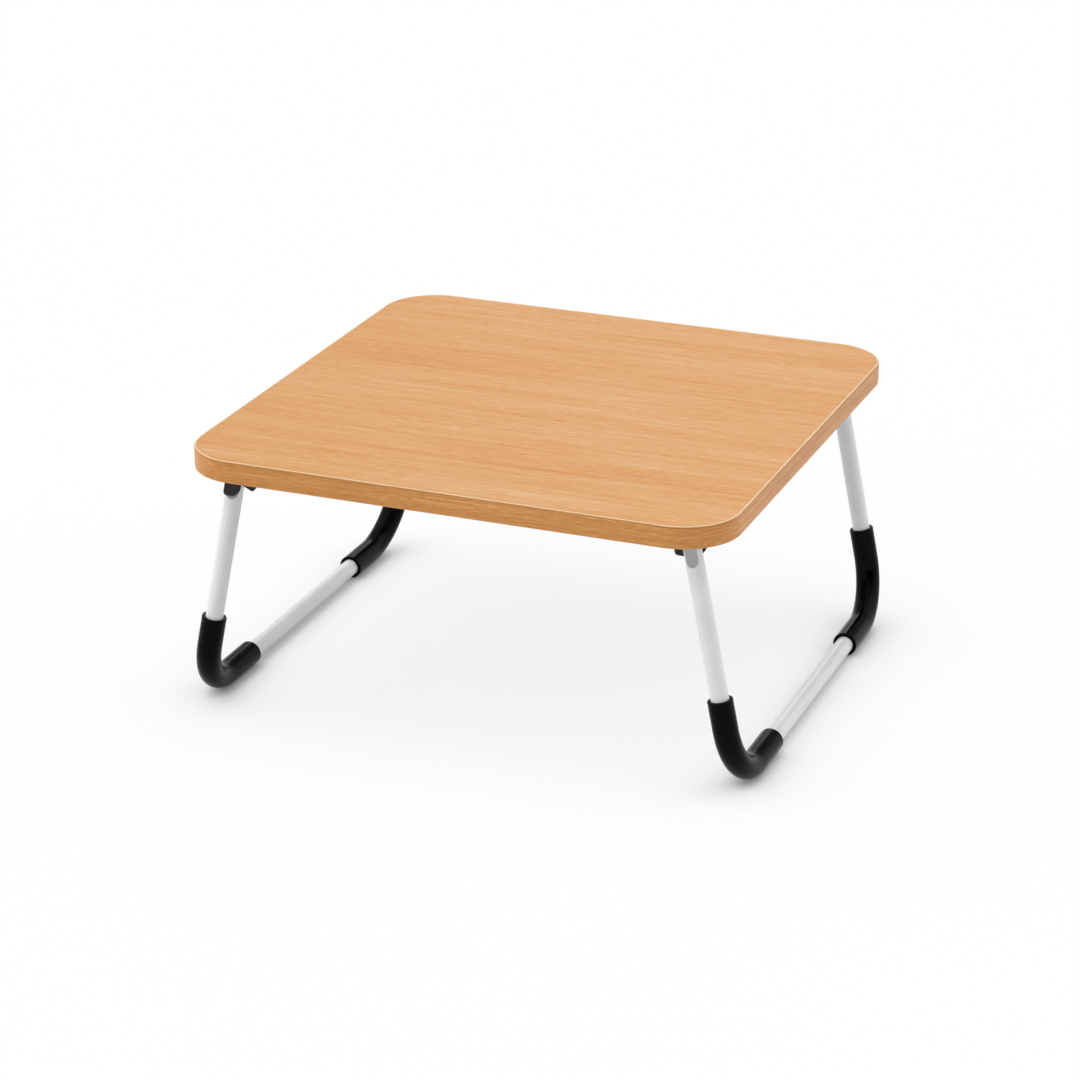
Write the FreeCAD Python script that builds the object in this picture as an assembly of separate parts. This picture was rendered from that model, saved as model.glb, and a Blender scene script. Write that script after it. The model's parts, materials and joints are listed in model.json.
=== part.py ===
import FreeCAD, Part
import math
import os

# Low folding breakfast table, millimetres, +Z up.
# Origin: on the floor, under the middle of the board. X runs from the left frame to the right one.

# Overall
table_height = 257.0
board_length = 500.0
board_width = 500.0
board_thickness = 20.0
board_corner_radius = 52.0

# Board layers
laminate_thickness = 0.8
edge_band_thickness = 2.0
edge_band_arris = 1.5
glue_line = 0.1

# Leg frames
tube_diameter = 16.0
tube_wall = 1.2
bend_radius = 52.0
leg_lean_degrees = 11.4
pivot_inset = 39.5
leg_inset = 41.5
pivot_drop = 10.5

# Pressed flats at the upper ends of the tube
flat_thickness = 10.0
flat_reach = 12.0
flat_runout_radius = 8.0

# Foot sleeves, measured beyond the bend that they cover
sleeve_diameter = 22.4
sleeve_clearance = 0.1
sleeve_leg_overlap = 28.0
sleeve_bar_overlap = 46.0
sleeve_lip_radius = 0.9

# Hinge brackets, pressed from sheet. Insets run inward from the pivot, drops down from the board.
bracket_sheet = 1.6
bracket_bend_radius = 2.4
cheek_clearance = 0.3
cheek_edge_round = 1.2
flange_length = 37.0
flange_depth = 22.0
flange_corner = 5.0
stop_drop = 13.0
stop_clearance = 0.3
stop_corner = 3.0

# Cheek of the left brackets: tongue, notch and tooth
tongue_drop = 25.3
tongue_setback = 3.2
tongue_width = 16.9
tongue_outer_round_share = 0.2
tongue_inner_round_share = 0.66
notch_inset = 8.3
notch_drop = 12.9
notch_radius = 0.8
tooth_inset = 19.4
tooth_drop = 18.3
tooth_radius = 2.2
shoulder_inset = 24.0
shoulder_drop = 13.5

# Cheek of the right brackets: one broad lobe
lobe_drop = 25.7
lobe_inset = 18.2
lobe_width = 22.4
lobe_inner_round = 3.6
lobe_outer_round = 3.0
lobe_corner_drop = 14.5
lobe_corner_round = 2.0

# Pivots
rivet_diameter = 4.0
rivet_head_diameter = 6.4
rivet_head_height = 1.4
rivet_head_round = 0.9
rivet_tail_diameter = 5.6
rivet_tail_height = 1.8
rivet_tail_round = 0.6
running_clearance = 0.05
washer_diameter = 12.0
side_play = 0.1

# Bracket screws
screw_diameter = 3.5
screw_length = 15.0
screw_tip_length = 3.0
screw_tip_diameter = 0.6
screw_head_diameter = 7.0
screw_head_height = 2.2
screw_head_round = 1.2
screw_recess_depth = 1.2
screw_recess_width = 0.9
screw_recess_span = 4.2
screw_spacing = 26.0
screw_thread_clearance = 0.05
screw_hole_clearance = 0.25

# Length that every cutting tool runs past the face it cuts
overrun = 1.0

# Worked out from the sizes above
underside = table_height - board_thickness
tube_radius = tube_diameter / 2
sleeve_radius = sleeve_diameter / 2
half_flat = flat_thickness / 2
runout_centre = half_flat + flat_runout_radius
lean = math.radians(leg_lean_degrees)
pivot_x = board_length / 2 - pivot_inset
pivot_z = underside - pivot_drop
frame_width = board_width - 2 * leg_inset
leg_y = frame_width / 2
leg_reach = (pivot_z - sleeve_radius) / math.cos(lean)
bend_height = bend_radius - leg_reach
cheek_inner = tube_radius + cheek_clearance
cheek_outer = cheek_inner + bracket_sheet
washer_thickness = cheek_inner - half_flat - side_play
stop_inner = tube_radius + stop_clearance
stop_outer = stop_inner + bracket_sheet
outer_edge = stop_outer / math.cos(lean)
same_place = glue_line / 2

ORIGIN = FreeCAD.Vector(0, 0, 0)
X_AXIS = FreeCAD.Vector(1, 0, 0)
Y_AXIS = FreeCAD.Vector(0, 1, 0)
Z_AXIS = FreeCAD.Vector(0, 0, 1)
FRONT = -1
BACK = 1


def point(x, y, z):
    return FreeCAD.Vector(x, y, z)


def write(name, shape):
    shape.exportStep("parts/" + name + ".step")
    print(name, len(shape.Solids), "solids", round(shape.Volume, 1), "mm3")


def one_solid(shape):
    """Merge faces that a union has split, and return the only solid."""
    return shape.removeSplitter().Solids[0]


def edges_where(shape, test):
    """The edges of a shape whose boxes pass a test."""
    return [edge for edge in shape.Edges if test(edge.BoundBox)]


# Board

def rounded_slab(length, width, corner, low, high):
    """A plate with rounded corners, centred on the Z axis, from height low to height high."""
    slab = Part.makeBox(length, width, high - low, point(-length / 2, -width / 2, low))
    uprights = edges_where(slab, lambda box: box.ZLength > same_place)
    return slab.makeFillet(corner, uprights)


def board_layer(low, high):
    """One layer of the board inside the edge band."""
    inset = edge_band_thickness + glue_line
    return rounded_slab(board_length - 2 * inset, board_width - 2 * inset,
                        board_corner_radius - inset, low, high)


def edge_band():
    """Strip round the board with a rounded arris above and below."""
    outside = rounded_slab(board_length, board_width, board_corner_radius, underside, table_height)
    outside = outside.makeFillet(edge_band_arris, edges_where(outside, lambda box: box.ZLength < same_place))
    inside = rounded_slab(board_length - 2 * edge_band_thickness, board_width - 2 * edge_band_thickness,
                          board_corner_radius - edge_band_thickness,
                          underside - overrun, table_height + overrun)
    return outside.cut(inside)


# Leg frame, drawn upright: pivots on the Y direction at height zero, cross bar below

def bend(radius, end):
    """A quarter turn of round rod between a leg and the cross bar."""
    start = point(0, end * leg_y, bend_height)
    centre = point(0, end * (leg_y - bend_radius), bend_height)
    disc = Part.Face(Part.Wire(Part.makeCircle(radius, start, Z_AXIS)))
    return disc.revolve(centre, X_AXIS * -end, 90)


def bent_rod(radius, leg_top):
    """A solid rod along the frame's whole U, with the leg ends at height leg_top."""
    bar = frame_width - 2 * bend_radius
    pieces = [bend(radius, FRONT), bend(radius, BACK)]
    pieces.append(Part.makeCylinder(radius, bar, point(0, -bar / 2, -leg_reach), Y_AXIS))
    for end in (FRONT, BACK):
        foot = point(0, end * leg_y, bend_height)
        pieces.append(Part.makeCylinder(radius, leg_top - bend_height, foot, Z_AXIS))
    return one_solid(pieces[0].multiFuse(pieces[1:]))


def flat_cutter(leg, side, runout):
    """Removes one side of a leg end down to a flat, with a hollow run-out below it."""
    reach = tube_radius + overrun
    turn = math.acos((runout_centre - reach) / runout)

    def on_runout(angle):
        across = runout_centre - runout * math.cos(angle)
        return point(-reach, leg + side * across, -flat_reach - runout * math.sin(angle))

    start = on_runout(0)
    finish = on_runout(turn)
    outline = Part.Wire([
        Part.LineSegment(point(-reach, start.y, reach), start).toShape(),
        Part.Arc(start, on_runout(turn / 2), finish).toShape(),
        Part.LineSegment(finish, point(-reach, finish.y, reach)).toShape(),
        Part.LineSegment(point(-reach, finish.y, reach), point(-reach, start.y, reach)).toShape(),
    ])
    return Part.Face(outline).extrude(X_AXIS * (2 * reach))


def flattened(rod, runout):
    """The rod with both sides of both leg ends pressed flat."""
    cutters = [flat_cutter(end * leg_y, side, runout) for end in (FRONT, BACK) for side in (-1, 1)]
    return rod.cut(cutters)


def end_rounding(leg):
    """What a leg's end loses when it is rounded about its pivot."""
    reach = tube_radius + overrun
    block = Part.makeBox(2 * reach, 2 * reach, reach, point(-reach, leg - reach, 0))
    return block.cut(Part.makeCylinder(tube_radius, 2 * reach, point(0, leg - reach, 0), Y_AXIS))


def leg_tube():
    """One U of tube with flattened, rounded and drilled ends."""
    outside = flattened(bent_rod(tube_radius, tube_radius), flat_runout_radius)
    bore = bent_rod(tube_radius - tube_wall, tube_radius + overrun)
    inside = flattened(bore, flat_runout_radius + tube_wall)
    tube = outside.cut(inside)
    hole_radius = rivet_diameter / 2 + running_clearance
    for end in (FRONT, BACK):
        leg = end * leg_y
        hole = Part.makeCylinder(hole_radius, tube_radius, point(0, leg - tube_radius, 0), Y_AXIS)
        tube = tube.cut([end_rounding(leg), hole])
    return one_solid(tube)


def foot_sleeve(end):
    """Soft sleeve round one bend, running a little way up the leg and along the bar."""
    leg = end * leg_y
    bar_start = end * (leg_y - bend_radius)
    leg_rim = bend_height + sleeve_leg_overlap
    bar_rim = bar_start - end * sleeve_bar_overlap

    def run(radius, extra):
        up = Part.makeCylinder(radius, sleeve_leg_overlap + extra, point(0, leg, bend_height), Z_AXIS)
        along = Part.makeCylinder(radius, sleeve_bar_overlap + extra,
                                  point(0, bar_start, -leg_reach), Y_AXIS * -end)
        return one_solid(bend(radius, end).multiFuse([up, along]))

    def on_rim(box):
        at_leg = box.ZLength < same_place and abs(box.Center.z - leg_rim) < same_place
        at_bar = box.YLength < same_place and abs(box.Center.y - bar_rim) < same_place
        return at_leg or at_bar

    outside = run(sleeve_radius, 0)
    outside = outside.makeFillet(sleeve_lip_radius, edges_where(outside, on_rim))
    return one_solid(outside.cut(run(tube_radius + sleeve_clearance, overrun)))


# Hinge, drawn round its pivot for the left frame: X inward, cheek on the -Y side of the tube

def slanted(drop):
    """Distance inward of the leg's centre line at a drop below the board."""
    return (pivot_drop - drop) * math.tan(lean)


def cheek(outline, rounds):
    """Plate beside the tube, from its outline and the corners that are rounded."""
    plate = Part.Face(Part.makePolygon(outline + outline[:1])).extrude(Y_AXIS * bracket_sheet)
    for corner, radius in rounds:
        def at_corner(box):
            return math.hypot(box.Center.x - corner.x, box.Center.z - corner.z) < same_place
        plate = plate.makeFillet(radius, edges_where(plate, at_corner))

    def face_rim(box):
        on_face = box.YMax < same_place
        return on_face and box.ZMin < pivot_drop - same_place
    plate = plate.makeFillet(cheek_edge_round, edges_where(plate, face_rim))
    plate.translate(point(0, -cheek_outer, 0))
    return plate


def hinge_point(inset, drop):
    """A point of a cheek's outline, from its inset and its drop below the board."""
    return point(inset, 0, pivot_drop - drop)


def tongue_cheek():
    """Cheek of the left brackets: a step below the stop, then rounded tongue, notch and tooth."""
    stop_end = slanted(stop_drop) - outer_edge
    step_outer = hinge_point(stop_end, stop_drop)
    step_inner = hinge_point(stop_end + tongue_setback, stop_drop)
    tongue_start = slanted(tongue_drop) - outer_edge + tongue_setback
    tongue_outer = hinge_point(tongue_start, tongue_drop)
    tongue_inner = hinge_point(tongue_start + tongue_width, tongue_drop)
    notch = hinge_point(notch_inset, notch_drop)
    tooth = hinge_point(tooth_inset, tooth_drop)
    shoulder = hinge_point(shoulder_inset, shoulder_drop)
    outline = [
        hinge_point(slanted(0) - outer_edge, 0),
        step_outer,
        step_inner,
        tongue_outer,
        tongue_inner,
        notch,
        tooth,
        shoulder,
        hinge_point(shoulder_inset, 0),
    ]
    rounds = (
        (step_outer, notch_radius),
        (step_inner, notch_radius),
        (tongue_outer, tongue_width * tongue_outer_round_share),
        (tongue_inner, tongue_width * tongue_inner_round_share),
        (notch, notch_radius),
        (tooth, tooth_radius),
        (shoulder, tooth_radius),
    )
    return cheek(outline, rounds)


def lobe_cheek():
    """Cheek of the right brackets: slanted outer edge cut back below, and one broad lobe."""
    corner = hinge_point(slanted(lobe_corner_drop) - outer_edge, lobe_corner_drop)
    lobe_outer = hinge_point(lobe_inset - lobe_width, lobe_drop)
    lobe_inner = hinge_point(lobe_inset, lobe_drop)
    outline = [
        hinge_point(slanted(0) - outer_edge, 0),
        corner,
        lobe_outer,
        lobe_inner,
        hinge_point(lobe_inset, 0),
    ]
    rounds = (
        (corner, lobe_corner_round),
        (lobe_outer, lobe_outer_round),
        (lobe_inner, lobe_inner_round),
    )
    return cheek(outline, rounds)


def screw_flange():
    """Plate against the board's underside, bent away from the tube."""
    start = slanted(0) - outer_edge
    low = pivot_drop - bracket_sheet
    front = -cheek_inner - flange_depth
    plate = Part.makeBox(flange_length, flange_depth, bracket_sheet, point(start, front, low))

    def front_corner(box):
        return box.ZLength > same_place and abs(box.Center.y - front) < same_place
    return plate.makeFillet(flange_corner, edges_where(plate, front_corner))


def leg_stop():
    """Plate behind the open leg, bent from the cheek's outer edge."""
    height = stop_drop + pivot_drop
    low = -(stop_drop - pivot_drop) / math.cos(lean)
    corner = point(-stop_outer, -cheek_inner, low)
    plate = Part.makeBox(bracket_sheet, cheek_inner + half_flat, height, corner)

    def free_corner(box):
        at_end = abs(box.Center.y - half_flat) < same_place
        return at_end and abs(box.Center.z - low) < same_place
    plate = plate.makeFillet(stop_corner, edges_where(plate, free_corner))
    plate.rotate(ORIGIN, Y_AXIS, leg_lean_degrees)
    wide = 2 * stop_outer
    above = Part.makeBox(2 * wide, 2 * wide, height, point(-wide, -wide, pivot_drop))
    return plate.cut(above)


def screw_places():
    """Screw centres on the flange, for the left frame's hinge."""
    middle = slanted(0) - outer_edge + flange_length / 2
    across = -(cheek_inner + (flange_depth + bracket_sheet) / 2)
    return [point(middle + side * screw_spacing / 2, across, pivot_drop) for side in (-1, 1)]


def hinge_bracket(side_plate):
    """Pressed bracket: cheek, screw flange and leg stop in one piece, drilled."""
    bracket = one_solid(side_plate.multiFuse([screw_flange(), leg_stop()]))

    def flange_bend(box):
        off_line = math.hypot(box.Center.y + cheek_inner, box.Center.z - pivot_drop)
        return box.XLength > flange_length / 2 and off_line < same_place
    bracket = bracket.makeFillet(bracket_bend_radius, edges_where(bracket, flange_bend))
    pivot_hole = Part.makeCylinder(rivet_diameter / 2 + running_clearance, cheek_outer + overrun,
                                   point(0, -cheek_outer - overrun, 0), Y_AXIS)
    holes = [pivot_hole]
    for place in screw_places():
        holes.append(Part.makeCylinder(screw_diameter / 2 + screw_hole_clearance, bracket_sheet + 2 * overrun,
                                       place + Z_AXIS * overrun, -Z_AXIS))
    return one_solid(bracket.cut(holes))


def domed_disc(place, outward, diameter, height, crown_round):
    """A low domed head that sits on a face and stands outward from it along Y."""
    head = Part.makeCylinder(diameter / 2, height, place, outward)
    crown = place.y + outward.y * height

    def crown_rim(box):
        return box.YLength < same_place and abs(box.Center.y - crown) < same_place
    return head.makeFillet(crown_round, edges_where(head, crown_rim))


def pivot_rivet():
    """Blind rivet through the cheek and the near wall of the tube, with its tail inside the tube."""
    start = point(0, -cheek_outer, 0)
    finish = point(0, side_play + tube_wall - half_flat, 0)
    shank = Part.makeCylinder(rivet_diameter / 2, finish.y - start.y, start, Y_AXIS)
    head = domed_disc(start, -Y_AXIS, rivet_head_diameter, rivet_head_height, rivet_head_round)
    tail = domed_disc(finish, Y_AXIS, rivet_tail_diameter, rivet_tail_height, rivet_tail_round)
    return one_solid(shank.multiFuse([head, tail]))


def pivot_washer():
    """Plain washer against the cheek, with side play to the tube's flat."""
    start = point(0, -cheek_inner, 0)
    bore_radius = rivet_diameter / 2 + running_clearance
    disc = Part.makeCylinder(washer_diameter / 2, washer_thickness, start, Y_AXIS)
    return disc.cut(Part.makeCylinder(bore_radius, washer_thickness, start, Y_AXIS))


def wood_screw(place):
    """Pan head screw, driven upward through the flange into the board."""
    seat = place - Z_AXIS * bracket_sheet
    head = Part.makeCylinder(screw_head_diameter / 2, screw_head_height, seat, -Z_AXIS)
    face = seat.z - screw_head_height

    def crown_rim(box):
        return box.ZLength < same_place and abs(box.Center.z - face) < same_place
    head = head.makeFillet(screw_head_round, edges_where(head, crown_rim))
    barrel = screw_length - screw_tip_length
    radius = screw_diameter / 2
    shank = Part.makeCylinder(radius, barrel, seat, Z_AXIS)
    tip = Part.makeCone(radius, screw_tip_diameter / 2, screw_tip_length, seat + Z_AXIS * barrel, Z_AXIS)
    screw = one_solid(head.multiFuse([shank, tip]))
    slots = []
    for length, width in ((screw_recess_span, screw_recess_width), (screw_recess_width, screw_recess_span)):
        corner = point(seat.x - length / 2, seat.y - width / 2, face - overrun)
        slots.append(Part.makeBox(length, width, screw_recess_depth + overrun, corner))
    return screw.cut(slots)


def screw_bore(place):
    """Hole that a driven screw fills in the board."""
    barrel = screw_length - screw_tip_length - bracket_sheet
    radius = screw_diameter / 2 + screw_thread_clearance
    bore = Part.makeCylinder(radius, barrel + overrun, place - Z_AXIS * overrun, Z_AXIS)
    tip = Part.makeCone(radius, screw_tip_diameter / 2 + screw_thread_clearance,
                        screw_tip_length + screw_thread_clearance, place + Z_AXIS * barrel, Z_AXIS)
    return bore.fuse(tip)


# Places

def hinge_place(shape, side, end):
    """A hinge piece at one leg, turned half round for the right frame."""
    placed = shape.copy()
    if side == "right":
        placed.rotate(ORIGIN, Z_AXIS, 180)
    sign = 1 if side == "right" else -1
    placed.translate(point(sign * pivot_x, end * leg_y, pivot_z))
    return placed


def frame_place(shape, side):
    """A frame piece leant outward at its own side of the board."""
    placed = shape.copy()
    placed.rotate(ORIGIN, Y_AXIS, leg_lean_degrees)
    placed.translate(point(-pivot_x, 0, pivot_z))
    if side == "right":
        placed.rotate(ORIGIN, Z_AXIS, 180)
    return placed


os.makedirs("parts", exist_ok=True)

SIDES = ("left", "right")
ENDS = (("front", FRONT), ("back", BACK))

screws = []
bores = []
for place in screw_places():
    for side in SIDES:
        for _, end in ENDS:
            screws.append(hinge_place(wood_screw(place), side, end))
            bores.append(hinge_place(screw_bore(place), side, end))

laminate_line = underside + laminate_thickness
write("tabletop_core", board_layer(laminate_line, table_height - laminate_thickness).cut(bores))
write("top_laminate", board_layer(table_height - laminate_thickness, table_height))
write("bottom_laminate", board_layer(underside, laminate_line).cut(bores))
write("edge_band", edge_band())
write("bracket_screws", Part.makeCompound(screws))

tube = leg_tube()
brackets = {"left": hinge_bracket(tongue_cheek()), "right": hinge_bracket(lobe_cheek())}
rivet = pivot_rivet()
washer = pivot_washer()
for side in SIDES:
    write(side + "_leg_tube", frame_place(tube, side))
    for name, end in ENDS:
        corner = side + "_" + name
        # A half turn swaps front and back on the right frame
        sleeve_end = end if side == "left" else -end
        write(corner + "_foot_sleeve", frame_place(foot_sleeve(sleeve_end), side))
        write(corner + "_hinge_bracket", hinge_place(brackets[side], side, end))
        write(corner + "_pivot_rivet", hinge_place(rivet, side, end))
        write(corner + "_pivot_washer", hinge_place(washer, side, end))
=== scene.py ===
import json
import math
from collections import namedtuple

import bmesh
import bpy
from mathutils import Color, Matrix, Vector


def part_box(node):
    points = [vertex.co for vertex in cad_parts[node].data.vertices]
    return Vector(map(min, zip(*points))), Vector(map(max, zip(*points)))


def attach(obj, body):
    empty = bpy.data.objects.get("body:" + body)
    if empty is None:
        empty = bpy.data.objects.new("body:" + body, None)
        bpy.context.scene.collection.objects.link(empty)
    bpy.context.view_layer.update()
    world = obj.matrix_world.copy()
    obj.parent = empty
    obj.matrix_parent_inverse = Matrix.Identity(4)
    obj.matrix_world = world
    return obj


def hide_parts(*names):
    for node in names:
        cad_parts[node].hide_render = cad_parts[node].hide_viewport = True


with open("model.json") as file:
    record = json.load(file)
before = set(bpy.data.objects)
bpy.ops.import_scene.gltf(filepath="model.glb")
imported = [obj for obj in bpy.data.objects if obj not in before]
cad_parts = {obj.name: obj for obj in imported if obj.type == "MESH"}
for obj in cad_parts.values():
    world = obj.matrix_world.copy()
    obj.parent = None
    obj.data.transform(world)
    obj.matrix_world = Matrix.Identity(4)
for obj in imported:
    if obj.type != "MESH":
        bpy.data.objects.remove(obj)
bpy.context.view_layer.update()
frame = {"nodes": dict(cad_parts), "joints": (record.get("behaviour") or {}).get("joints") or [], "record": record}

# Low folding breakfast table, metres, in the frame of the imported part.

# Camera, solved from the board's outline in the photograph
CAMERA_AZIMUTH = math.radians(21.713)
CAMERA_ELEVATION = math.radians(22.126)
CAMERA_DISTANCE = 2.80545
CAMERA_TARGET = Vector((0.06397, -0.1813, 0.19827))
CAMERA_LENS_MM = 109.25
CAMERA_SENSOR_MM = 36.0

# Edge band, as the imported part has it
BOARD_LOW, BOARD_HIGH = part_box("edge_band")
BOARD_CORNER = 0.052
BAND_THICKNESS = 0.002
BAND_ARRIS = 0.0015
ARRIS_STEPS = 6
FACE_STEPS = 4
CORNER_STEPS = 32
SIDE_STEPS = 12

# Zones of the band's colour by depth under the board's top, where each is full and where it ends: pale cream at
# the top arris, which is the band's scraped plastic and a painted highlight, and a painted shade just under it
SCRAPED_HIGHLIGHT_FULL = 0.0002
SCRAPED_HIGHLIGHT_END = 0.0004
PAINTED_SHADE_FULL = 0.0010
PAINTED_SHADE_END = 0.0026
PAINTED_SHADE_SHARE = 0.4

# The same painted highlight at the lower arris, as a weaker lighter line, by height over the board's underside
FOOT_HIGHLIGHT_FULL = 0.0004
FOOT_HIGHLIGHT_END = 0.0007
FOOT_HIGHLIGHT_SHARE = 0.3

# Leg ends, alike at all four corners: radius of the tube, pivot and direction of the leg
RIGHT_FOLD = next(joint for joint in frame["joints"] if joint["name"] == "right_frame_fold")
TUBE_LOW, TUBE_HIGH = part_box("right_leg_tube")
PIVOT_X, PIVOT_Z = RIGHT_FOLD["pos_m"][0], RIGHT_FOLD["pos_m"][2]
TUBE_RADIUS = PIVOT_X - TUBE_LOW.x
LEG_PIVOT = Vector((PIVOT_X, TUBE_HIGH.y - TUBE_RADIUS, PIVOT_Z))
LEG_LEAN = math.radians(11.4)
LEG_LINE = Vector((math.sin(LEG_LEAN), 0, -math.cos(LEG_LEAN)))

# How far inside the tube's round a pressed flat begins to show, and where it shows in full, for the painted shade
# on the flats
PRESSED_SHADE_START = 0.0001
PRESSED_SHADE_FULL = 0.0008

# Range that holds most values of a noise
NOISE_LOW = 0.3
NOISE_HIGH = 0.7

# Wood grain: frequency per metre along and across it, settings of the noise, weight in the sum
GrainLayer = namedtuple("GrainLayer", "along across place detail roughness weight")
GRAIN_BANDS = GrainLayer(1.6, 28.0, (3.1, 0.0, 0.0), 2.0, 0.55, 0.2)
GRAIN_STREAKS = GrainLayer(6.0, 120.0, (0.0, 7.3, 0.0), 3.0, 0.6, 0.2)
GRAIN_THREADS = GrainLayer(10.0, 520.0, (11.0, 0.0, 0.0), 2.0, 0.55, 0.3)
GRAIN_FIBRES = GrainLayer(90.0, 760.0, (0.0, 3.7, 2.0), 2.0, 0.55, 0.3)
GRAIN_PORES = GrainLayer(80.0, 900.0, (0.0, 0.0, 5.0), 1.0, 0.55, -0.08)
PORE_START = 0.6
PORE_FULL = 0.75

# Slow sway of the grain: frequency per metre, and how far it shifts the lines across
SWAY_SCALE = (3.0, 10.0, 1.0)
SWAY_SHIFT = (0.0, 0.005, 0.0)

# Coats of paint and plastic: frequencies per metre of tone and gloss, strength of the skin's bump
COAT_TONE_SCALE = 18.0
COAT_GLOSS_SCALE = 60.0
COAT_GLOSS_PLACE = (4.0, 0.0, 0.0)
COAT_SKIN_STRENGTH = 0.15

# Floor and backdrop
FLOOR_HALF = 14.0
FLOOR_PAINT = (0.8, 0.8, 0.8, 1.0)
BACKDROP_RADIUS = 13.0
BACKDROP_HEIGHT = 3.0
BACKDROP_SIDES = 64

# Floor as seen: share of plain white in the open and under things, and how far off these count
FLOOR_WHITE_SHARE = 0.91
CONTACT_WHITE_SHARE = 0.08
CONTACT_OPEN_SHARE = 0.2
CONTACT_REACH = 0.042
TABLE_REACH = 0.26
REACH_SAMPLES = 3

# Rest of the floor as seen, with a painted contact shadow: its tone where something touches it and where nothing
# is close
TOUCH_REACH = 0.01
TOUCH_OPEN_SHARE = 0.35
TOUCH_PAINTED_SHADOW = (0.6, 0.6, 0.6)
CLEAR_OPEN_SHARE = 0.9
CLEAR_TONE = (0.95, 0.95, 0.95)

# Soft lights of the dome: direction from the table, full and outer half angle in degrees, strength
DOME_LEVEL = 0.34
DOME_LIGHTS = (
    ((-0.80, -0.48, 0.34), 35.0, 68.0, 1.05),
    ((0.10, -0.10, 1.0), 25.0, 55.0, 0.65),
    ((0.85, 0.40, 0.46), 20.0, 45.0, 1.15),
    ((-0.26, 0.86, 0.43), 6.0, 12.0, 1.8),
    ((0.70, -0.70, 0.05), 32.0, 74.0, -0.33),
)

# Plain white, the highest display level, and the sockets of a node that mixes two colours
WHITE = (1.0, 1.0, 1.0, 1.0)
FULL_LEVEL = 255
MIX_FACTOR = 0
MIX_FIRST = 6
MIX_SECOND = 7
MIX_RESULT = 2


# Meshes

def object_from(name, mesh):
    """A new object from a finished mesh."""
    data = bpy.data.meshes.new(name)
    mesh.to_mesh(data)
    mesh.free()
    made = bpy.data.objects.new(name, data)
    bpy.context.scene.collection.objects.link(made)
    return made


def round_rectangle(half_x, half_y, corner):
    """Points and outward directions round a rounded rectangle, anticlockwise from its right side."""
    points = []
    corners = []
    for side_x, side_y in ((1, 1), (-1, 1), (-1, -1), (1, -1)):
        corners.append(Vector((side_x * (half_x - corner), side_y * (half_y - corner), 0)))
    for index, centre in enumerate(corners):
        for step in range(CORNER_STEPS + 1):
            angle = (index + step / CORNER_STEPS) * math.pi / 2
            out = Vector((math.cos(angle), math.sin(angle), 0))
            points.append((centre + out * corner, out))
        following = corners[(index + 1) % len(corners)]
        for step in range(1, SIDE_STEPS):
            points.append((centre.lerp(following, step / SIDE_STEPS) + out * corner, out))
    return points


def band_profile():
    """Section of the band, inset from the outer face and height, from the inner foot to the inner top."""
    low, high = BOARD_LOW.z, BOARD_HIGH.z
    outline = [(BAND_THICKNESS, low)]
    for step in range(ARRIS_STEPS + 1):
        angle = step * math.pi / 2 / ARRIS_STEPS
        outline.append((BAND_ARRIS * (1 - math.sin(angle)), low + BAND_ARRIS * (1 - math.cos(angle))))
    for step in range(1, FACE_STEPS):
        outline.append((0.0, low + BAND_ARRIS + step / FACE_STEPS * (high - low - 2 * BAND_ARRIS)))
    for step in range(ARRIS_STEPS + 1):
        angle = step * math.pi / 2 / ARRIS_STEPS
        outline.append((BAND_ARRIS * (1 - math.cos(angle)), high - BAND_ARRIS * (1 - math.sin(angle))))
    outline.append((BAND_THICKNESS, high))
    return outline


def make_edge_band():
    """Strip round the board, with lengths along and across it as its texture coordinates."""
    ring = round_rectangle(BOARD_HIGH.x, BOARD_HIGH.y, BOARD_CORNER)
    profile = band_profile()
    across = [0.0]
    for a, b in zip(profile, profile[1:]):
        across.append(across[-1] + math.dist(a, b))
    along = [0.0]
    for a, b in zip(ring, ring[1:] + ring[:1]):
        along.append(along[-1] + (b[0] - a[0]).length)
    mesh = bmesh.new()
    grid = []
    for place, out in ring:
        row = []
        for inset, height in profile:
            row.append(mesh.verts.new(place - out * inset + Vector((0, 0, height))))
        grid.append(row)
    layer = mesh.loops.layers.uv.new("strip")
    count = len(ring)
    last = len(profile) - 1
    for i in range(count):
        j = (i + 1) % count
        for k in range(last + 1):
            n = (k + 1) % (last + 1)
            face = mesh.faces.new((grid[i][k], grid[j][k], grid[j][n], grid[i][n]))
            face.smooth = k != last
            upper = across[k + 1] if k < last else across[k] + (BOARD_HIGH.z - BOARD_LOW.z)
            near, far = along[i], along[i + 1]
            values = ((near, across[k]), (far, across[k]), (far, upper), (near, upper))
            for loop, value in zip(face.loops, values):
                loop[layer].uv = value
    bmesh.ops.recalc_face_normals(mesh, faces=mesh.faces)
    return object_from("edge_band_strip", mesh)


# Node trees

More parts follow.
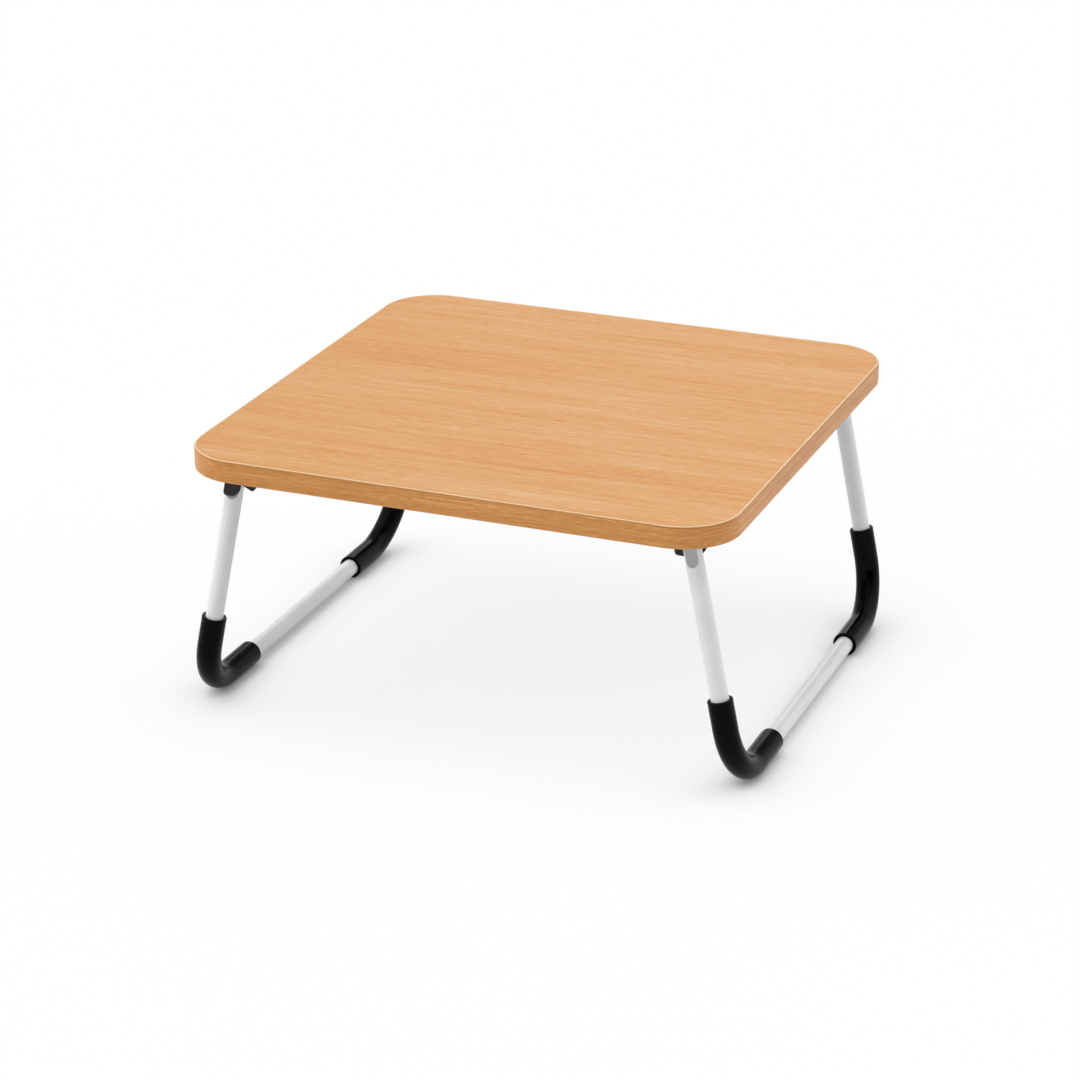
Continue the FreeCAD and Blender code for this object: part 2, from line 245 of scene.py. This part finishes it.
class Nodes:
    """A node tree and short ways to add to it."""

    def __init__(self, tree):
        self.tree = tree

    def add(self, kind, **settings):
        node = self.tree.nodes.new(kind)
        for key, value in settings.items():
            setattr(node, key, value)
        return node

    def link(self, source, output, target, socket):
        self.tree.links.new(source.outputs[output], target.inputs[socket])

    def noise(self, source, output, scale, place=(0, 0, 0), detail=3.0, roughness=0.55):
        """Noise with a frequency per metre along each axis."""
        stretched = self.add("ShaderNodeMapping")
        stretched.inputs["Scale"].default_value = scale
        stretched.inputs["Location"].default_value = place
        self.link(source, output, stretched, "Vector")
        node = self.add("ShaderNodeTexNoise")
        node.inputs["Scale"].default_value = 1.0
        node.inputs["Detail"].default_value = detail
        node.inputs["Roughness"].default_value = roughness
        self.link(stretched, "Vector", node, "Vector")
        return node

    def ramp(self, source, output, low, high, colours):
        """Colours at even steps of a value, the first at low and the last at high."""
        node = self.add("ShaderNodeValToRGB")
        node.color_ramp.interpolation = "EASE"
        elements = node.color_ramp.elements
        while len(elements) < len(colours):
            elements.new(high)
        for index, colour in enumerate(colours):
            elements[index].position = low + (high - low) * index / (len(colours) - 1)
            elements[index].color = (*colour, 1.0)
        self.link(source, output, node, "Fac")
        return node

    def spread(self, source, output, low, high, to_low=0.0, to_high=1.0, **settings):
        """A value moved from one range to another."""
        node = self.add("ShaderNodeMapRange", **settings)
        node.inputs["From Min"].default_value = low
        node.inputs["From Max"].default_value = high
        node.inputs["To Min"].default_value = to_low
        node.inputs["To Max"].default_value = to_high
        self.link(source, output, node, "Value")
        return node

    def sum(self, parts, start=0.0):
        """A start value and several others, each a node, its output and its weight."""
        total = None
        for source, output, weight in parts:
            node = self.add("ShaderNodeMath", operation="MULTIPLY_ADD")
            node.inputs[1].default_value = weight
            node.inputs[2].default_value = start
            self.link(source, output, node, 0)
            if total:
                self.link(total, "Value", node, 2)
            total = node
        return total

    def maximum(self, parts):
        """The largest of several values, each a node and its output, and zero."""
        most = None
        for source, output in parts:
            node = self.add("ShaderNodeMath", operation="MAXIMUM")
            node.inputs[1].default_value = 0.0
            self.link(source, output, node, 0)
            if most:
                self.link(most, "Value", node, 1)
            most = node
        return most

    def mixed(self, factor, output, first, second):
        """Two colours mixed by a value. Each is a node and its output, or a plain colour."""
        node = self.add("ShaderNodeMix", data_type="RGBA")
        self.link(factor, output, node, MIX_FACTOR)
        for socket, colour in ((MIX_FIRST, first), (MIX_SECOND, second)):
            if len(colour) == 3:
                node.inputs[socket].default_value = (*colour, 1.0)
            else:
                self.link(*colour, node, socket)
        return node

    def mixed_shaders(self, factor, output, first, second):
        """Two shaders mixed by a value. Each is a node and its output."""
        node = self.add("ShaderNodeMixShader")
        self.link(factor, output, node, 0)
        self.link(*first, node, 1)
        self.link(*second, node, 2)
        return node


class Sheet(Nodes):
    """One material, with its shader and the nodes on it."""

    def __init__(self, name):
        self.material = bpy.data.materials.new(name)
        self.material.use_nodes = True
        super().__init__(self.material.node_tree)
        self.tree.nodes.clear()
        self.output = self.add("ShaderNodeOutputMaterial")
        self.shader = self.add("ShaderNodeBsdfPrincipled")
        self.link(self.shader, "BSDF", self.output, "Surface")

    def set(self, socket, value):
        """A constant of the shader."""
        self.shader.inputs[socket].default_value = value

    def paint(self, source, output):
        """The shader's colour."""
        self.link(source, output, self.shader, "Base Color")

    def roughen(self, source, output, low, high):
        """Roughness that follows a noise, given for the noise's low and high end."""
        rough = self.spread(source, output, NOISE_LOW, NOISE_HIGH, low, high)
        self.link(rough, "Result", self.shader, "Roughness")

    def bump(self, source, output, strength, depth):
        """Small relief from a value."""
        node = self.add("ShaderNodeBump")
        node.inputs["Strength"].default_value = strength
        node.inputs["Distance"].default_value = depth
        self.link(source, output, node, "Height")
        self.link(node, "Normal", self.shader, "Normal")


def linear(*levels):
    """A colour written in display levels from 0 to 255."""
    return tuple(Color([level / FULL_LEVEL for level in levels]).from_srgb_to_scene_linear())


# Materials

def wood_grain(sheet, source, output, fine=1.0):
    """Grain along the first coordinate: bands, long streaks, fine threads, short fibres and pores."""
    sway = sheet.noise(source, output, SWAY_SCALE, detail=2.0)
    shifted = sheet.add("ShaderNodeVectorMath", operation="MULTIPLY_ADD")
    shifted.inputs[1].default_value = SWAY_SHIFT
    sheet.link(sway, "Fac", shifted, 0)
    sheet.link(source, output, shifted, 2)

    def layer_noise(layer):
        scale = (layer.along, layer.across * fine, 1.0)
        return sheet.noise(shifted, "Vector", scale, layer.place, layer.detail, layer.roughness)

    parts = []
    for layer in (GRAIN_BANDS, GRAIN_STREAKS, GRAIN_THREADS, GRAIN_FIBRES):
        parts.append((layer_noise(layer), "Fac", layer.weight))
    dashes = sheet.spread(layer_noise(GRAIN_PORES), "Fac", PORE_START, PORE_FULL)
    parts.append((dashes, "Result", GRAIN_PORES.weight))
    return sheet.sum(parts)


def wood_top():
    sheet = Sheet("wood_laminate_top")
    place = sheet.add("ShaderNodeTexCoord")
    grain = wood_grain(sheet, place, "Object")
    tones = (linear(213, 141, 70), linear(220, 162, 102), linear(227, 183, 136))
    colour = sheet.ramp(grain, "Value", low=0.37, high=0.63, colours=tones)
    sheet.paint(colour, "Color")
    sheet.roughen(grain, "Value", low=0.46, high=0.36)
    sheet.set("Specular IOR Level", 0.1)
    sheet.bump(grain, "Value", strength=0.12, depth=0.0004)
    return sheet.material


def wood_edge():
    """Printed grain round the edge. A painted highlight lies on both rounded arrises, pale as the band's scraped
    plastic, and a painted shade lies just under the top arris.
    """
    sheet = Sheet("wood_edging_band")
    strip = sheet.add("ShaderNodeUVMap", uv_map="strip")
    grain = wood_grain(sheet, strip, "UV", fine=1.3)
    tones = (linear(184, 110, 40), linear(210, 142, 71), linear(234, 174, 108))
    colour = sheet.ramp(grain, "Value", low=0.36, high=0.64, colours=tones)
    place = sheet.add("ShaderNodeTexCoord")
    split = sheet.add("ShaderNodeSeparateXYZ")
    sheet.link(place, "Object", split, "Vector")
    low, high = BOARD_LOW.z, BOARD_HIGH.z
    # Painted shade: a darker line just under the top arris, where the rounded edge turns away from the light
    painted_shade_zone = sheet.spread(split, "Z", high - PAINTED_SHADE_END, high - PAINTED_SHADE_FULL, 0.0, PAINTED_SHADE_SHARE)
    with_painted_shade = sheet.mixed(painted_shade_zone, "Result", (colour, "Color"), linear(168, 104, 46))
    # Painted highlight on the rounded arrises, pale cream as the band's scraped plastic: full at the top arris,
    # weaker at the foot
    scraped_highlight = sheet.spread(split, "Z", high - SCRAPED_HIGHLIGHT_END, high - SCRAPED_HIGHLIGHT_FULL)
    foot_highlight = sheet.spread(split, "Z", low + FOOT_HIGHLIGHT_END, low + FOOT_HIGHLIGHT_FULL, 0.0, FOOT_HIGHLIGHT_SHARE)
    arris_highlight = sheet.maximum(((scraped_highlight, "Result"), (foot_highlight, "Result")))
    pale = sheet.noise(strip, "UV", scale=(40.0, 500.0, 1.0), detail=2.0)
    creams = (linear(238, 205, 158), linear(246, 222, 184))
    cream = sheet.ramp(pale, "Fac", NOISE_LOW, NOISE_HIGH, creams)
    surface = sheet.mixed(arris_highlight, "Value", (with_painted_shade, MIX_RESULT), (cream, "Color"))
    sheet.paint(surface, MIX_RESULT)
    sheet.roughen(grain, "Value", low=0.44, high=0.34)
    sheet.set("Specular IOR Level", 0.4)
    sheet.bump(grain, "Value", strength=0.12, depth=0.0003)
    return sheet.material


def coated(name, tones, roughness, skin_scale, skin_depth):
    """Paint or plastic with slow changes of tone and gloss and a fine skin: its sheet and its colour."""
    sheet = Sheet(name)
    place = sheet.add("ShaderNodeTexCoord")
    tone = sheet.noise(place, "Object", (COAT_TONE_SCALE,) * 3)
    colour = sheet.ramp(tone, "Fac", NOISE_LOW, NOISE_HIGH, tones)
    sheet.paint(colour, "Color")
    rough = sheet.noise(place, "Object", (COAT_GLOSS_SCALE,) * 3, COAT_GLOSS_PLACE)
    sheet.roughen(rough, "Fac", *roughness)
    skin = sheet.noise(place, "Object", (skin_scale,) * 3, detail=2.0)
    sheet.bump(skin, "Fac", COAT_SKIN_STRENGTH, skin_depth)
    return sheet, colour


def melamine():
    tones = (linear(208, 208, 206), linear(216, 216, 214))
    sheet, _ = coated("melamine_backing", tones, roughness=(0.5, 0.6), skin_scale=900.0, skin_depth=0.0001)
    return sheet.material


def white_coating():
    """White powder coat, with painted shade as a greyer tone on the pressed flats at the leg ends, which lie in
    shade under the board.
    """
    tones = (linear(235, 235, 236), linear(241, 241, 242))
    sheet, coat = coated("white_powder_coat", tones, roughness=(0.22, 0.26),
                         skin_scale=700.0, skin_depth=0.00003)
    place = sheet.add("ShaderNodeTexCoord")
    folded = sheet.add("ShaderNodeVectorMath", operation="ABSOLUTE")
    sheet.link(place, "Object", folded, 0)
    from_pivot = sheet.add("ShaderNodeVectorMath", operation="SUBTRACT")
    from_pivot.inputs[1].default_value = LEG_PIVOT
    sheet.link(folded, "Vector", from_pivot, 0)
    beside = sheet.add("ShaderNodeVectorMath", operation="CROSS_PRODUCT")
    beside.inputs[1].default_value = LEG_LINE
    sheet.link(from_pivot, "Vector", beside, 0)
    off_line = sheet.add("ShaderNodeVectorMath", operation="LENGTH")
    sheet.link(beside, "Vector", off_line, 0)
    pressed_flat_shade = sheet.spread(off_line, "Value", TUBE_RADIUS - PRESSED_SHADE_START, TUBE_RADIUS - PRESSED_SHADE_FULL)
    # Painted shade: the pressed flats are greyed
    surface = sheet.mixed(pressed_flat_shade, "Result", (coat, "Color"), linear(178, 179, 181))
    sheet.paint(surface, MIX_RESULT)
    return sheet.material


def black_sleeve():
    tones = (linear(2, 2, 2), linear(5, 5, 5))
    sheet, _ = coated("black_pvc", tones, roughness=(0.15, 0.2), skin_scale=260.0, skin_depth=0.0001)
    sheet.set("Specular IOR Level", 0.06)
    return sheet.material


def black_coating():
    tones = (linear(18, 18, 20), linear(26, 27, 29))
    sheet, _ = coated("black_satin_paint", tones, roughness=(0.34, 0.46),
                      skin_scale=900.0, skin_depth=0.0002)
    sheet.set("Specular IOR Level", 0.3)
    return sheet.material


def nylon():
    tones = (linear(224, 221, 210), linear(234, 232, 224))
    sheet, _ = coated("natural_nylon", tones, roughness=(0.4, 0.5), skin_scale=600.0, skin_depth=0.0001)
    return sheet.material


def zinc():
    tones = (linear(188, 190, 192), linear(210, 211, 212))
    sheet, _ = coated("zinc_plate", tones, roughness=(0.26, 0.42),
                      skin_scale=1400.0, skin_depth=0.00005)
    sheet.set("Metallic", 1.0)
    return sheet.material


def raw_board():
    sheet = Sheet("particle_board")
    place = sheet.add("ShaderNodeTexCoord")
    chips = sheet.noise(place, "Object", scale=(260.0, 260.0, 420.0), detail=4.0, roughness=0.7)
    tones = (linear(150, 112, 72), linear(186, 148, 104), linear(212, 178, 132))
    colour = sheet.ramp(chips, "Fac", NOISE_LOW, NOISE_HIGH, tones)
    sheet.paint(colour, "Color")
    sheet.set("Roughness", 0.85)
    sheet.bump(chips, "Fac", strength=0.3, depth=0.0006)
    return sheet.material


def dress(obj, material):
    obj.data.materials.clear()
    obj.data.materials.append(material)


# Pieces

FINISHES = {
    "board_core": raw_board(),
    "wood_laminate": wood_top(),
    "backing_laminate": melamine(),
    "wood_edging": wood_edge(),
    "white_coating": white_coating(),
    "black_sleeve": black_sleeve(),
    "black_coating": black_coating(),
    "plated_steel": zinc(),
    "nylon": nylon(),
}
for row in frame["record"]["subparts"]:
    dress(frame["nodes"][row["node"]], FINISHES[row["material_slot"]])

edge_strip = make_edge_band()
dress(edge_strip, FINISHES["wood_edging"])
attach(edge_strip, "tabletop")
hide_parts("edge_band")


# Floor, light and camera

def stage_piece(name, mesh, material):
    """A piece of the studio from a finished mesh."""
    piece = object_from(name, mesh)
    dress(piece, material)


def seen_directly(sheet):
    """One for rays that show a surface itself, straight or in gloss or glass, and zero for its light."""
    path = sheet.add("ShaderNodeLightPath")
    rays = ("Is Camera Ray", "Is Glossy Ray", "Is Transmission Ray")
    return sheet.maximum([(path, ray) for ray in rays])


def show_apart(sheet, seen, other):
    """One shader for rays that show the surface itself and another for all the rest."""
    sheet.tree.nodes.remove(sheet.shader)
    surface = sheet.mixed_shaders(seen_directly(sheet), "Value", other, seen)
    sheet.link(surface, "Shader", sheet.output, "Surface")


def plain_white(sheet):
    white = sheet.add("ShaderNodeEmission")
    white.inputs["Color"].default_value = WHITE
    white.inputs["Strength"].default_value = 1.0
    return white


def openness(sheet, reach):
    """Share of the sky over a point that nothing within reach covers."""
    node = sheet.add("ShaderNodeAmbientOcclusion", samples=REACH_SAMPLES)
    node.inputs["Distance"].default_value = reach
    return node


def make_backdrop():
    """White ring wall behind the floor. It only shows itself and lets the light of the dome through."""
    mesh = bmesh.new()
    bmesh.ops.create_cone(mesh, cap_ends=False, segments=BACKDROP_SIDES, radius1=BACKDROP_RADIUS,
                          radius2=BACKDROP_RADIUS, depth=2 * BACKDROP_HEIGHT)
    sheet = Sheet("studio_backdrop")
    sheet.material.cycles.emission_sampling = "NONE"
    clear = sheet.add("ShaderNodeBsdfTransparent")
    show_apart(sheet, seen=(plain_white(sheet), "Emission"), other=(clear, "BSDF"))
    stage_piece("backdrop", mesh, sheet.material)


def make_floor():
    """White floor. Part of it as seen is plain white, less of it where the object stands, and close to where
    things touch it its seen colour is darkened as a painted contact shadow.
    """
    mesh = bmesh.new()
    bmesh.ops.create_grid(mesh, x_segments=1, y_segments=1, size=FLOOR_HALF)
    sheet = Sheet("studio_floor")
    paint = sheet.add("ShaderNodeBsdfDiffuse")
    paint.inputs["Color"].default_value = FLOOR_PAINT
    lit = sheet.add("ShaderNodeBsdfDiffuse")
    # Painted contact shadow: the seen floor's colour darkens where something is within touching reach
    touch = openness(sheet, TOUCH_REACH)
    tone = sheet.ramp(touch, "AO", TOUCH_OPEN_SHARE, CLEAR_OPEN_SHARE, (TOUCH_PAINTED_SHADOW, CLEAR_TONE))
    sheet.link(tone, "Color", lit, "Color")
    open_sky = sheet.add("ShaderNodeMath", operation="MULTIPLY")
    sheet.link(openness(sheet, CONTACT_REACH), "AO", open_sky, 0)
    sheet.link(openness(sheet, TABLE_REACH), "AO", open_sky, 1)
    share = sheet.spread(open_sky, "Value", CONTACT_OPEN_SHARE, 1.0,
                         CONTACT_WHITE_SHARE, FLOOR_WHITE_SHARE)
    white = plain_white(sheet)
    seen = sheet.mixed_shaders(share, "Result", (lit, "BSDF"), (white, "Emission"))
    show_apart(sheet, seen=(seen, "Shader"), other=(paint, "BSDF"))
    stage_piece("floor", mesh, sheet.material)


def make_world():
    """Soft studio dome: an even level, the lights, and a dark flag where a strength is below zero."""
    world = bpy.data.worlds.new("studio")
    world.use_nodes = True
    nodes = Nodes(world.node_tree)
    background = nodes.tree.nodes["Background"]
    background.inputs["Color"].default_value = WHITE
    place = nodes.add("ShaderNodeTexCoord")
    glows = []
    for direction, full, outer, strength in DOME_LIGHTS:
        facing = nodes.add("ShaderNodeVectorMath", operation="DOT_PRODUCT")
        facing.inputs[1].default_value = Vector(direction).normalized()
        nodes.link(place, "Generated", facing, 0)
        rim = math.cos(math.radians(outer))
        core = math.cos(math.radians(full))
        glow = nodes.spread(facing, "Value", rim, core, interpolation_type="SMOOTHSTEP")
        glows.append((glow, "Result", strength))
    nodes.link(nodes.sum(glows, start=DOME_LEVEL), "Value", background, "Strength")
    bpy.context.scene.world = world


def make_camera():
    lens = bpy.data.cameras.new("camera")
    lens.lens = CAMERA_LENS_MM
    lens.sensor_width = CAMERA_SENSOR_MM
    lens.sensor_fit = "HORIZONTAL"
    camera = bpy.data.objects.new("camera", lens)
    back = Vector((
        math.sin(CAMERA_AZIMUTH) * math.cos(CAMERA_ELEVATION),
        -math.cos(CAMERA_AZIMUTH) * math.cos(CAMERA_ELEVATION),
        math.sin(CAMERA_ELEVATION),
    ))
    camera.location = CAMERA_TARGET + back * CAMERA_DISTANCE
    camera.rotation_mode = "QUATERNION"
    camera.rotation_quaternion = (-back).to_track_quat("-Z", "Y")
    bpy.context.scene.collection.objects.link(camera)
    bpy.context.scene.camera = camera


make_floor()
make_backdrop()
make_world()
make_camera()
bpy.context.scene.view_settings.view_transform = "Standard"
